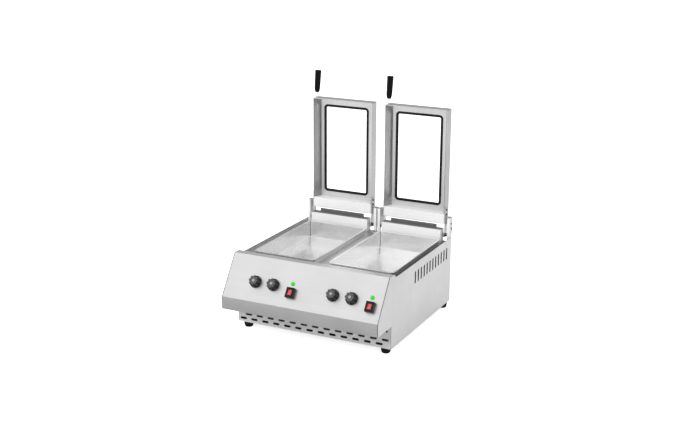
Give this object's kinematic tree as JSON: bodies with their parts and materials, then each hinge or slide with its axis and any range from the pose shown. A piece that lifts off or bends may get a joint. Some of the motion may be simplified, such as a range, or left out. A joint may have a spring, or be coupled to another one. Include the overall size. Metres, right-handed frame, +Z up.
{
  "type": "electric dumpling fryer",
  "caption": "Countertop electric dumpling fryer: a steel cabinet with sunken frying pans side by side, each under a hinged glazed lid, and knobs and switches on a sloping front.",
  "frame": {"origin": "on the worktop, under the middle of the box round the whole fryer with its lids open", "axes": "+X to the right of a cook who faces the control panel, +Y to the back, +Z up"},
  "size_m": [0.56, 0.6392, 0.7935],
  "materials": {
    "cabinet_steel": "brushed stainless sheet",
    "deck_steel": "brushed stainless sheet, finer grain",
    "pan_steel": "bright stainless, half polished",
    "heater_steel": "heat-dulled steel",
    "guard_steel": "dark steel sheet",
    "fastener_steel": "dark plated steel",
    "foot_rubber": "matt black rubber",
    "seal_rubber": "satin black rubber",
    "case_plastic": "heat-resistant moulding",
    "black_plastic": "satin black moulding",
    "red_plastic": "glossy red, lit from inside",
    "green_lens": "clear green lens, lit from inside",
    "lid_steel": "brushed stainless sheet",
    "window_glass": "clear toughened glass",
    "bright_steel": "polished steel"
  },
  "bodies": {
    "cabinet": {"base_plate": "cabinet_steel", "front_plinth": "cabinet_steel", "control_panel": "cabinet_steel", "left_side_panel": "cabinet_steel", "right_side_panel": "cabinet_steel", "rear_panel": "cabinet_steel", "heat_shield": "cabinet_steel", "top_deck": "deck_steel", "left_hinge_box": "deck_steel", "right_hinge_box": "deck_steel", "left_hinge_posts": "deck_steel", "right_hinge_posts": "deck_steel", "left_pan": "pan_steel", "right_pan": "pan_steel", "left_heating_element": "heater_steel", "right_heating_element": "heater_steel", "heater_clamps": "heater_steel", "clamp_nuts": "heater_steel", "drip_guards": "guard_steel", "pivot_bolts": "fastener_steel", "post_screws": "fastener_steel", "foot_screws": "fastener_steel", "panel_screws": "fastener_steel", "bushing_nuts": "fastener_steel", "feet": "foot_rubber", "thermostat_bodies": "case_plastic", "timer_bodies": "case_plastic", "lamp_bodies": "case_plastic", "terminal_block": "case_plastic", "switch_housings": "black_plastic", "cable_gland": "black_plastic", "lamp_lenses": "green_lens"},
    "left_lid": {"left_arm_bolts": "fastener_steel", "left_window_seal": "seal_rubber", "left_handle_grip": "black_plastic", "left_lid_shell": "lid_steel", "left_lid_liner": "lid_steel", "left_lid_cross_plate": "lid_steel", "left_lid_arms": "lid_steel", "left_window_glass": "window_glass", "left_handle_rod": "bright_steel"},
    "left_thermostat": {"left_thermostat_knob": "black_plastic", "left_thermostat_spindle": "bright_steel"},
    "left_timer": {"left_timer_knob": "black_plastic", "left_timer_spindle": "bright_steel"},
    "left_switch": {"left_rocker": "red_plastic"},
    "right_lid": {"right_arm_bolts": "fastener_steel", "right_window_seal": "seal_rubber", "right_handle_grip": "black_plastic", "right_lid_shell": "lid_steel", "right_lid_liner": "lid_steel", "right_lid_cross_plate": "lid_steel", "right_lid_arms": "lid_steel", "right_window_glass": "window_glass", "right_handle_rod": "bright_steel"},
    "right_thermostat": {"right_thermostat_knob": "black_plastic", "right_thermostat_spindle": "bright_steel"},
    "right_timer": {"right_timer_knob": "black_plastic", "right_timer_spindle": "bright_steel"},
    "right_switch": {"right_rocker": "red_plastic"}
  },
  "joints": [
    {"name": "left_lid_hinge", "type": "hinge", "parent": "cabinet", "child": "left_lid", "pos_m": [-0.1396, 0.28245, 0.261], "axis": [1, 0, 0], "range_deg": [0, 90]},
    {"name": "left_thermostat_turn", "type": "hinge", "parent": "cabinet", "child": "left_thermostat", "pos_m": [-0.1716, -0.28235, 0.19651], "axis": [0, 0.8259, -0.5637], "range_deg": [0, 270]},
    {"name": "left_timer_turn", "type": "hinge", "parent": "cabinet", "child": "left_timer", "pos_m": [-0.106, -0.28235, 0.19651], "axis": [0, 0.8259, -0.5637], "range_deg": [0, 300]},
    {"name": "left_switch_rock", "type": "hinge", "parent": "cabinet", "child": "left_switch", "pos_m": [-0.0371, -0.30089, 0.18798], "axis": [1, 0, 0], "range_deg": [0, 20]},
    {"name": "right_lid_hinge", "type": "hinge", "parent": "cabinet", "child": "right_lid", "pos_m": [0.1396, 0.28245, 0.261], "axis": [1, 0, 0], "range_deg": [0, 90]},
    {"name": "right_thermostat_turn", "type": "hinge", "parent": "cabinet", "child": "right_thermostat", "pos_m": [0.1076, -0.28235, 0.19651], "axis": [0, 0.8259, -0.5637], "range_deg": [0, 270]},
    {"name": "right_timer_turn", "type": "hinge", "parent": "cabinet", "child": "right_timer", "pos_m": [0.1732, -0.28235, 0.19651], "axis": [0, 0.8259, -0.5637], "range_deg": [0, 300]},
    {"name": "right_switch_rock", "type": "hinge", "parent": "cabinet", "child": "right_switch", "pos_m": [0.2421, -0.30089, 0.18798], "axis": [1, 0, 0], "range_deg": [0, 20]}
  ]
}
